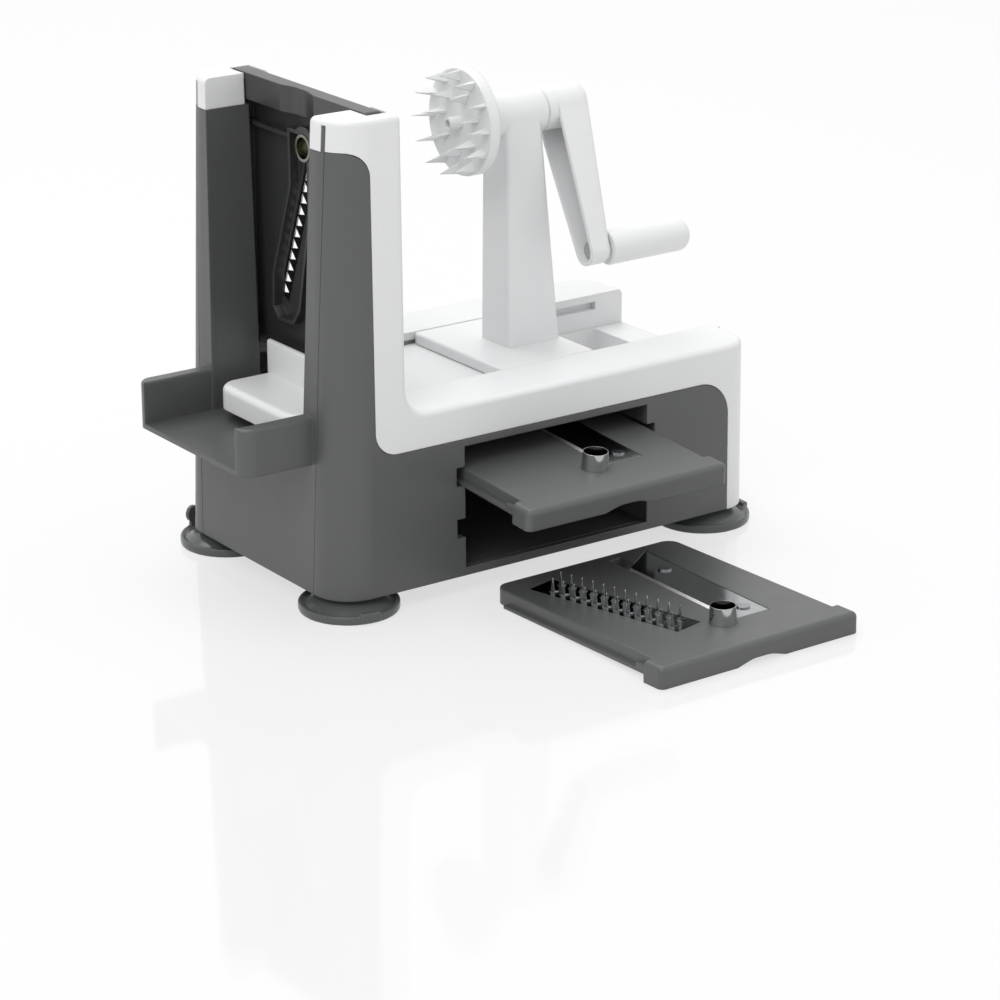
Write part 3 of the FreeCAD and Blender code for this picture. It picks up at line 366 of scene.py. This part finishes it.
def addPiece(name, mesh, material):
    data = bpy.data.meshes.new(name)
    mesh.to_mesh(data)
    mesh.free()
    data.materials.append(material)
    piece = bpy.data.objects.new(name, data)
    bpy.context.scene.collection.objects.link(piece)
    return piece


# suction feet: a thick rim, a dished top, a neck up into the cover, and a tab that lets the air in

# flare goes out from the neck and up; dish goes in from the rim and down from its top, in lips;
# knobInset is a share of the knob's thickness, stemShare and stemWidth of its radius
footShape = {"offset": 0.0555, "rim": 0.0246, "rimTop": 0.0044, "lip": 0.0010,
             "neck": 0.0095, "neckTop": 0.0094, "cavity": 0.0032, "steps": 96,
             "flare": ((0.001, 0.0086), (0.003, 0.0074), (0.006, 0.0060), (0.009, 0.0047)),
             "dish": ((3.2, 1.2), (2.3, 1.2), (1.6, 0.3), (0.9, 0.0), (0.3, 0.2), (0.0, 0.8)),
             "sole": (0.4, 2.5),
             "tabWidth": 0.0104, "tabDepth": 0.0036, "tabReach": 0.0256, "tabLow": 0.0006,
             "tabRound": 0.0008, "tabSegments": 2,
             "knobRadius": 0.0042, "knobThick": 0.0022, "knobHeight": 0.0104, "knobSteps": 40,
             "knobInset": 0.6, "stemShare": 0.5, "stemWidth": 0.8,
             "voxel": 0.00042, "soften": 0.5, "softenTurns": 4}
footTabs = {
    "suction_foot_front_near": {"place": (-0.1088, -1), "turn": -98, "top": 0.0058, "knob": False},
    "suction_foot_front_far": {"place": (-0.1082, 1), "turn": 112, "top": 0.0058, "knob": True},
    "suction_foot_rear_near": {"place": (0.1064, -1), "turn": -4, "top": 0.0054, "knob": False},
    "suction_foot_rear_far": {"place": (0.1064, 1), "turn": 60, "top": 0.0058, "knob": False},
}
weldDistance = 1e-6


def spinProfile(mesh, profile, steps):
    # turns (radius, height) points about Z into a closed skin
    corners = [mesh.verts.new((radius, 0, height)) for radius, height in profile]
    edges = [mesh.edges.new(pair) for pair in zip(corners, corners[1:])]
    bmesh.ops.spin(mesh, geom=corners + edges, cent=(0, 0, 0), axis=(0, 0, 1),
                   angle=2 * math.pi, steps=steps, use_merge=True)
    bmesh.ops.remove_doubles(mesh, verts=mesh.verts, dist=weldDistance)
    bmesh.ops.recalc_face_normals(mesh, faces=mesh.faces)


def addBlock(mesh, middle, size):
    place = Matrix.Translation(middle) @ Matrix.Diagonal((*size, 1))
    return bmesh.ops.create_cube(mesh, size=1.0, matrix=place)["verts"]


def addKnob(mesh):
    # a round knob on a flat stem that stands on the rim
    shape = footShape
    knob, thick = shape["knobRadius"], shape["knobThick"]
    standing = shape["rim"] - shape["knobInset"] * thick
    stem = shape["knobHeight"] - shape["stemShare"] * knob - shape["lip"]
    parts = addBlock(mesh, (standing, 0, shape["lip"] + stem / 2),
                     (thick, shape["stemWidth"] * knob, stem))
    head = Matrix.Translation((standing, 0, shape["knobHeight"])) @ Matrix.Rotation(math.pi / 2, 4, "Y")
    return parts + bmesh.ops.create_cone(
        mesh, cap_ends=True, segments=shape["knobSteps"], radius1=knob, radius2=knob,
        depth=thick, matrix=head)["verts"]


def addTab(mesh, top):
    shape = footShape
    reach, low, deep = shape["tabReach"], shape["tabLow"], shape["tabDepth"]
    block = addBlock(mesh, (reach - deep / 2, 0, (low + top) / 2),
                     (deep, shape["tabWidth"], top - low))
    edges = list({edge for vert in block for edge in vert.link_edges})
    return bmesh.ops.bevel(mesh, geom=edges, offset=shape["tabRound"], segments=shape["tabSegments"],
                           profile=0.5, affect="EDGES", material=-1)["verts"]


def buildFoot(name, tab, middle):
    shape = footShape
    rim, top, lip, neck = shape["rim"], shape["rimTop"], shape["lip"], shape["neck"]
    profile = [(0, shape["neckTop"]), (neck, shape["neckTop"])]
    profile += [(neck + out, height) for out, height in shape["flare"]]
    profile += [(rim - inset * lip, top - drop * lip) for inset, drop in shape["dish"]]
    profile += [(rim, lip)] + [(rim - inset * lip, 0.0) for inset in shape["sole"]]
    profile += [(neck, shape["cavity"]), (0, shape["cavity"])]
    mesh = bmesh.new()
    spinProfile(mesh, profile, shape["steps"])
    added = addKnob(mesh) if tab["knob"] else addTab(mesh, tab["top"])
    bmesh.ops.rotate(mesh, verts=added, cent=(0, 0, 0),
                     matrix=Matrix.Rotation(math.radians(tab["turn"]), 3, "Z"))
    along, side = tab["place"]
    bmesh.ops.translate(mesh, verts=mesh.verts, vec=(
        middle.x + along, middle.y + side * shape["offset"], 0))
    cup = addPiece(name + "_cup", mesh, materials["cupRubber"])
    blend = cup.modifiers.new("blend", "REMESH")
    blend.mode = "VOXEL"
    blend.voxel_size = shape["voxel"]
    blend.use_smooth_shade = True
    soften = cup.modifiers.new("soften", "SMOOTH")
    soften.factor = shape["soften"]
    soften.iterations = shape["softenTurns"]
    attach(cup, "housing")
    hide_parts(name)


coverLow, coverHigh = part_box("bottom_cover")
for footName, footTab in footTabs.items():
    buildFoot(footName, footTab, (coverLow + coverHigh) / 2)
print("suction feet built")

# crank arm: hub and arm as one form, as wide as the hub at its root and open towards the post

armShape = {"hubRadius": 0.0110, "endRadius": 0.0070, "faceSet": 0.0055, "backSet": 0.0002,
            "endDepth": 0.0179, "wall": 0.0020, "round": 0.0034, "roundSegments": 5,
            "hubEdge": 0.0006, "fit": 0.00005, "shaftRadius": 0.0050, "pinRadius": 0.0036,
            "pinHead": 0.0016, "steps": 64, "sharpAngle": 35}


def armOutline(root, end, trim):
    # two arcs joined by the lines that touch both
    rootRadius, endRadius = armShape["hubRadius"] - trim, armShape["endRadius"] - trim
    along = end - root
    tilt = math.acos((rootRadius - endRadius) / along.length)
    heading = math.atan2(along.y, along.x)
    half = armShape["steps"] // 2
    points = []
    for middle, radius, start, sweep in ((root, rootRadius, heading + tilt, 2 * math.pi - 2 * tilt),
                                         (end, endRadius, heading - tilt, 2 * tilt)):
        for index in range(half + 1):
            angle = start + sweep * index / half
            points.append(middle + radius * Vector((math.cos(angle), math.sin(angle))))
    return points


def addTube(mesh, profile, start):
    # turns a closed (radius, length) outline about an axis along X that begins at start
    part = bmesh.new()
    spinProfile(part, profile + profile[:1], armShape["steps"])
    turn = Matrix.Translation(start) @ Matrix.Rotation(math.pi / 2, 4, "Y")
    bmesh.ops.transform(part, matrix=turn, verts=part.verts)
    spare = bpy.data.meshes.new("spare")
    part.to_mesh(spare)
    part.free()
    mesh.from_mesh(spare)
    bpy.data.meshes.remove(spare)


def addArmShell(mesh, root, end, face, backAt):
    # the back's outline is drawn out to the open face, in by a wall, and down again inside
    wall = armShape["wall"]
    outer, inner = armOutline(root, end, 0), armOutline(root, end, wall)
    back = mesh.faces.new([mesh.verts.new((backAt(point), *point)) for point in outer])
    rim = list(back.edges)
    for corners in ([(face, *point) for point in outer], [(face, *point) for point in inner],
                    [(backAt(point) - wall, *point) for point in inner]):
        drawn = bmesh.ops.extrude_edge_only(mesh, edges=rim)["geom"]
        rim = [item for item in drawn if isinstance(item, bmesh.types.BMEdge)]
        ring = [item for item in drawn if isinstance(item, bmesh.types.BMVert)]
        for vert, corner in zip(ring, corners):
            vert.co = corner
    mesh.faces.new(ring)
    bmesh.ops.recalc_face_normals(mesh, faces=mesh.faces)
    bmesh.ops.bevel(mesh, geom=list(back.edges), offset=armShape["round"],
                    segments=armShape["roundSegments"], profile=0.5, affect="EDGES", material=-1)


def buildArm():
    shape = armShape
    low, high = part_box("crank_arm")
    pinLow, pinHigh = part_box("handle_pin")
    root = Vector((high.y - shape["hubRadius"], high.z - shape["hubRadius"]))
    end = Vector(((pinLow.y + pinHigh.y) / 2, (pinLow.z + pinHigh.z) / 2))
    face = low.x + shape["faceSet"]
    endBack, rootBack = low.x + shape["endDepth"], high.x - shape["backSet"]

    def backAt(point):
        share = (point - end).dot(root - end) / (root - end).length_squared
        return endBack + (rootBack - endBack) * share

    mesh = bmesh.new()
    addArmShell(mesh, root, end, face, backAt)
    hub, edge = shape["hubRadius"] - shape["fit"], shape["hubEdge"]
    bore = shape["shaftRadius"] + shape["fit"]
    length = rootBack - shape["round"] - low.x
    addTube(mesh, [(bore, 0), (hub - edge, 0), (hub, edge), (hub, length), (bore, length)],
            (low.x, root.x, root.y))
    pinBore, pinWall = shape["pinRadius"] + shape["fit"], shape["endRadius"] - shape["wall"] / 2
    core = pinLow.x + shape["pinHead"] + shape["fit"]
    depth = endBack - core - edge
    addTube(mesh, [(pinBore, 0), (pinWall, 0), (pinWall, depth), (pinBore, depth)],
            (core, end.x, end.y))
    arm = addPiece("crank_arm_form", mesh, materials["whiteAbs"])
    arm.data.shade_smooth()
    arm.data.set_sharp_from_angle(angle=math.radians(shape["sharpAngle"]))
    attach(arm, "crank")
    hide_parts("crank_arm")


buildArm()
print("crank arm built")

# floor, backdrop and light

stageSettings = {"floorReach": 9.0, "floorColour": (0.80, 0.80, 0.80, 1), "floorRough": 0.06,
                 "floorSheen": 0.85, "floorIndex": 1.9, "floorShare": 0.66, "ambient": 0.66,
                 "lampAim": (0.0, 0.02, 0.10)}
lampSettings = {
    "keyLamp": {"at": (-1.6, -0.95, 2.1), "size": 1.6, "power": 20.5},
    "fillLamp": {"at": (1.7, -1.5, 1.2), "size": 1.8, "power": 3.5},
    "topLamp": {"at": (0.1, 0.9, 2.2), "size": 1.8, "power": 27.0},
}
pureWhite = (1, 1, 1, 1)


def backdropRay(tree):
    path = addNode(tree, "ShaderNodeLightPath")
    seen = mathNode(tree, "MAXIMUM", path.outputs["Is Camera Ray"], path.outputs["Is Glossy Ray"])
    return mathNode(tree, "MAXIMUM", seen, path.outputs["Is Transmission Ray"])


def mixShaders(tree, share, first, second, output):
    mix = addNode(tree, "ShaderNodeMixShader")
    fillNode(tree, mix, {0: share, 1: first.outputs[0], 2: second.outputs[0]})
    fillNode(tree, tree.nodes[output], {"Surface": mix.outputs[0]})


def buildWorld():
    world = bpy.data.worlds.new("paleStudio")
    bpy.context.scene.world = world
    world.use_nodes = True
    tree = world.node_tree
    sky = fillNode(tree, tree.nodes["Background"], {
        "Color": pureWhite, "Strength": stageSettings["ambient"]})
    white = fillNode(tree, addNode(tree, "ShaderNodeBackground"), {
        "Color": pureWhite, "Strength": 1.0})
    mixShaders(tree, backdropRay(tree), sky, white, "World Output")


def buildFloor():
    bpy.ops.mesh.primitive_plane_add(size=2 * stageSettings["floorReach"], location=(0, 0, 0))
    floor = bpy.context.object
    floor.name = "studioFloor"
    material, tree, shader = startMaterial("paleFloor")
    fillNode(tree, shader, {
        "Base Color": stageSettings["floorColour"], "Roughness": stageSettings["floorRough"],
        "Specular IOR Level": stageSettings["floorSheen"], "IOR": stageSettings["floorIndex"]})
    glow = fillNode(tree, addNode(tree, "ShaderNodeEmission"), {"Strength": 1.0})
    share = mathNode(tree, "MULTIPLY", backdropRay(tree), stageSettings["floorShare"])
    mixShaders(tree, share, shader, glow, "Material Output")
    floor.data.materials.append(material)


def buildLamps():
    target = Vector(stageSettings["lampAim"])
    for name, lamp in lampSettings.items():
        data = bpy.data.lights.new(name, "AREA")
        data.size = lamp["size"]
        data.energy = lamp["power"]
        item = bpy.data.objects.new(name, data)
        item.location = lamp["at"]
        item.rotation_euler = (target - item.location).to_track_quat("-Z", "Y").to_euler()
        bpy.context.scene.collection.objects.link(item)


buildWorld()
buildFloor()
buildLamps()
bpy.context.scene.view_settings.view_transform = "Standard"
print("stage lit")

# camera

viewSettings = {"turn": 35.47, "rise": 19.81, "distance": 1.76384, "lens": 124.96, "sensor": 36.0,
                "aim": (0.029546, 0.066233, 0.013696)}


def buildCamera():
    turn = math.radians(viewSettings["turn"])
    rise = math.radians(viewSettings["rise"])
    sight = Vector((math.sin(turn) * math.cos(rise), math.cos(turn) * math.cos(rise),
                    -math.sin(rise)))
    data = bpy.data.cameras.new("viewCamera")
    data.lens = viewSettings["lens"]
    data.sensor_width = viewSettings["sensor"]
    camera = bpy.data.objects.new("viewCamera", data)
    camera.location = Vector(viewSettings["aim"]) - sight * viewSettings["distance"]
    camera.rotation_euler = sight.to_track_quat("-Z", "Y").to_euler()
    bpy.context.scene.collection.objects.link(camera)
    bpy.context.scene.camera = camera


buildCamera()
print("camera placed")
